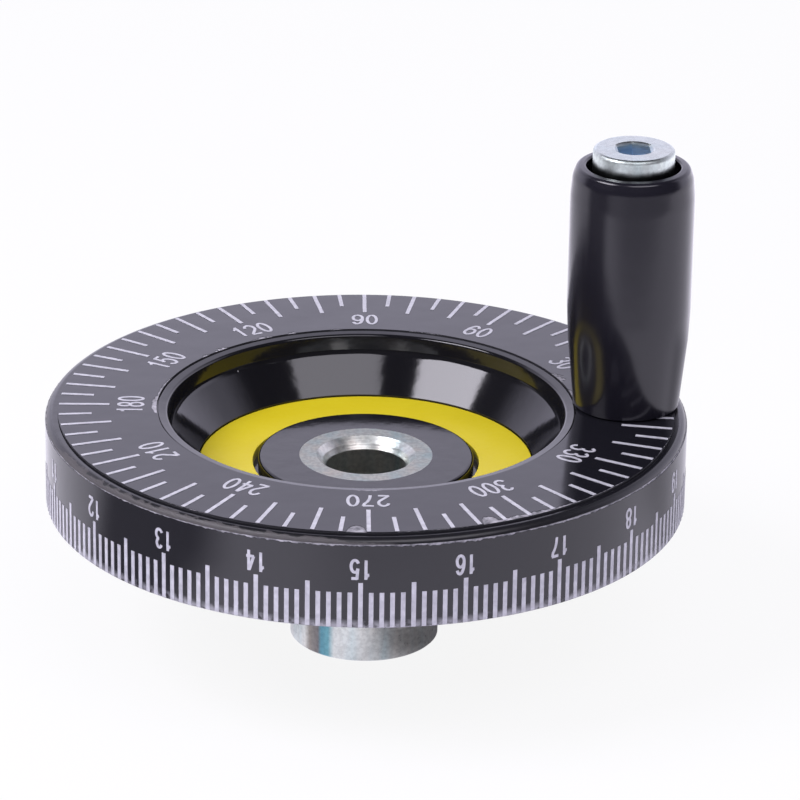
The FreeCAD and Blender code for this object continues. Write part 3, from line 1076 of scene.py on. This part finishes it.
def floor_glow():
    """Group: how bright the floor is in the gloss.

    It fades to the front, in the bore and under the hub to the right, which is painted shadow of the wheel,
    and a little at the back on both sides, and it is brightest at the front left, away from the hub. A dark
    wedge runs out to the left from the hub and opens with the distance.
    """
    tree, start, end = group("floor_glow", {"Level": paper_level}, {"Glow": "NodeSocketFloat"})
    place = scaled(tree, object_spot(tree), 1 / MM)
    radius = measured(tree, "LENGTH", place)

    def along(x, y, offset=0.0):
        """How far a spot lies the way (x, y), from a line at minus the offset."""
        return math_node(tree, "ADD", measured(tree, "DOT_PRODUCT", place, (x, y, 0)), offset)

    def faded(value, *span):
        return ramp_node(tree, value, *span)

    def share(*way):
        return math_node(tree, "DIVIDE", along(*way), radius)

    back_left = share(-0.78, 0.626)
    opened = math_node(tree, "SUBTRACT", back_left, faded(radius, 20, 60, 0.0, 0.26))
    opened = math_node(tree, "ADD", opened, faded(radius, 75, 95, 0.0, 0.16))
    wedge = product(
        tree, faded(share(0.1, 1.0, 5.0), -0.15, 0.1, 1.0, 0.0), faded(opened, -0.12, 0.2, 0.0, 1.0),
        faded(radius, 15, 45, 0.0, 0.82),
    )
    # Painted shadow of the wheel on the floor under the hub, to the right.
    hub_shadow = node(tree, "ShaderNodeMix", {
        "Factor": faded(radius, 18, 40, 0.0, 1.0), "A": faded(along(1, 0), -6, 10, 1.0, 0.12), "B": 1.0,
    }).outputs["Result"]
    lobe = product(tree, faded(back_left, -0.6, -0.2, 0.0, 0.28), faded(radius, 40, 80, 0.0, 1.0))
    front_left = math_node(tree, "ADD", faded(radius, 20, 50, 0.9, 1.0), lobe)
    back_right = product(tree, faded(share(1, 1), 0.9, 1.2, 0.0, 0.5), faded(radius, 110, 140, 1.0, 0.0))
    # The last fades include painted shadow under the bore: the glow falls to 0.12 within 5 mm of the axis.
    plug(end, {"Glow": product(
        tree, faded(along(0, 1), -165, -90, 0.45, 1.0), front_left, faded(back_left, 0.4, 0.9, 1.0, 0.7),
        math_node(tree, "SUBTRACT", 1.0, back_right), hub_shadow, faded(radius, 5, 9, 0.12, 1.0),
        start.outputs["Level"], math_node(tree, "SUBTRACT", 1.0, wedge),
    )})
    return tree


def bare_tree(owner):
    """Emptied node tree of a new material or world."""
    owner.use_nodes = True
    owner.node_tree.nodes.clear()
    return owner.node_tree


def floor_paper():
    """White paper: nearly plain white to the camera, so that the shadow stays faint, its own glow in the
    gloss, and diffuse otherwise.
    """
    finish = bpy.data.materials.new("floor_paper")
    tree = bare_tree(finish)
    path = node(tree, "ShaderNodeLightPath").outputs
    paper = node(tree, "ShaderNodeBsdfDiffuse", {"Color": paper_colour})
    plain = node(tree, "ShaderNodeEmission", {"Color": white, "Strength": 1.0})
    glow = node(tree, "ShaderNodeGroup", {"Level": paper_level}, node_tree=floor_glow())
    mirrored = node(tree, "ShaderNodeEmission", {"Color": paper_glow, "Strength": glow.outputs[0]})
    seen = product(tree, path["Is Camera Ray"], 0.9)
    to_camera = node(tree, "ShaderNodeMixShader", {0: seen, 1: paper.outputs[0], 2: plain.outputs[0]})
    both = node(tree, "ShaderNodeMixShader", {
        0: path["Is Glossy Ray"], 1: to_camera.outputs[0], 2: mirrored.outputs[0],
    })
    node(tree, "ShaderNodeOutputMaterial", {"Surface": both.outputs[0]})
    return finish


staged_sheet("floor", floor_size, floor_size, floor_paper())


def soft_box(name, azimuth, elevation, distance, width, height, radiance):
    """Glowing sheet aimed at the wheel, dimmed towards its rounded edge; the azimuth counts from the camera's
    side to its right. With u and v from -1 to 1 across it, the edge lies where u^4 + v^4 = 1.
    """
    finish = bpy.data.materials.new(name)
    tree = bare_tree(finish)
    x, y = node(tree, "ShaderNodeSeparateXYZ", {"Vector": object_spot(tree)}).outputs[:2]
    u = math_node(tree, "POWER", product(tree, x, 2 / width), 4.0)
    v = math_node(tree, "POWER", product(tree, y, 2 / height), 4.0)
    level = ramp_node(tree, math_node(tree, "ADD", u, v), 0.55, 1.0, radiance, 0.0)
    glow = node(tree, "ShaderNodeEmission", {"Color": box_colour, "Strength": level})
    node(tree, "ShaderNodeOutputMaterial", {"Surface": glow.outputs[0]})
    box = staged_sheet(name, width, height, finish)
    azimuth, elevation = math.radians(azimuth), math.radians(elevation)
    level_way = Vector((math.sin(azimuth), -math.cos(azimuth), 0))
    away = level_way * math.cos(elevation) + Vector((0, 0, math.sin(elevation)))
    away.rotate(Matrix.Rotation(camera_turn, 3, "Z"))
    box.location = Vector((0, 0, label_top * MM)) + away * distance
    box.rotation_euler = away.to_track_quat("Z", "Y").to_euler()
    box.visible_camera = False


soft_box("key_box", -66, 46, 0.8, 0.49, 0.39, 11.5)
soft_box("fill_box", 24, 50, 0.8, 0.70, 0.39, 4.0)


def white_surround():
    """White to the camera, an even grey to diffuse rays, and a lit backdrop behind the wheel in the gloss.

    The backdrop is lit from the horizon to half way up. At the far left it starts nearer and is dimmer.
    """
    world = bpy.data.worlds.new("surround")
    bpy.context.scene.world = world
    tree = bare_tree(world)
    path = node(tree, "ShaderNodeLightPath").outputs
    way = node(tree, "ShaderNodeTexCoord").outputs["Generated"]
    x, y, z = node(tree, "ShaderNodeSeparateXYZ", {"Vector": way}).outputs
    far_left = ramp_node(tree, x, -0.6, -0.4, 1.0, 0.0)
    depth = math_node(tree, "SUBTRACT", y, product(tree, far_left, 0.3))
    backdrop = product(
        tree, ramp_node(tree, depth, -0.1, 0.2, 0.05, 1.12), ramp_node(tree, z, 0.55, 0.75, 1.0, 0.05),
        ramp_node(tree, z, 0.30, 0.46, 1.35, 1.0), ramp_node(tree, x, -0.15, 0.15, 1.12, 0.96),
        math_node(tree, "SUBTRACT", 1.0, product(tree, far_left, 0.2)),
    )
    unseen = node(tree, "ShaderNodeMix", {"Factor": path["Is Glossy Ray"], "A": surround_grey, "B": backdrop})
    background = node(tree, "ShaderNodeBackground", {
        "Color": mixed(tree, path["Is Camera Ray"], backdrop_colour, white),
        "Strength": math_node(tree, "MAXIMUM", unseen.outputs[0], path["Is Camera Ray"]),
    })
    node(tree, "ShaderNodeOutputWorld", {"Surface": background.outputs[0]})


white_surround()
bpy.context.scene.view_settings.view_transform = "Standard"
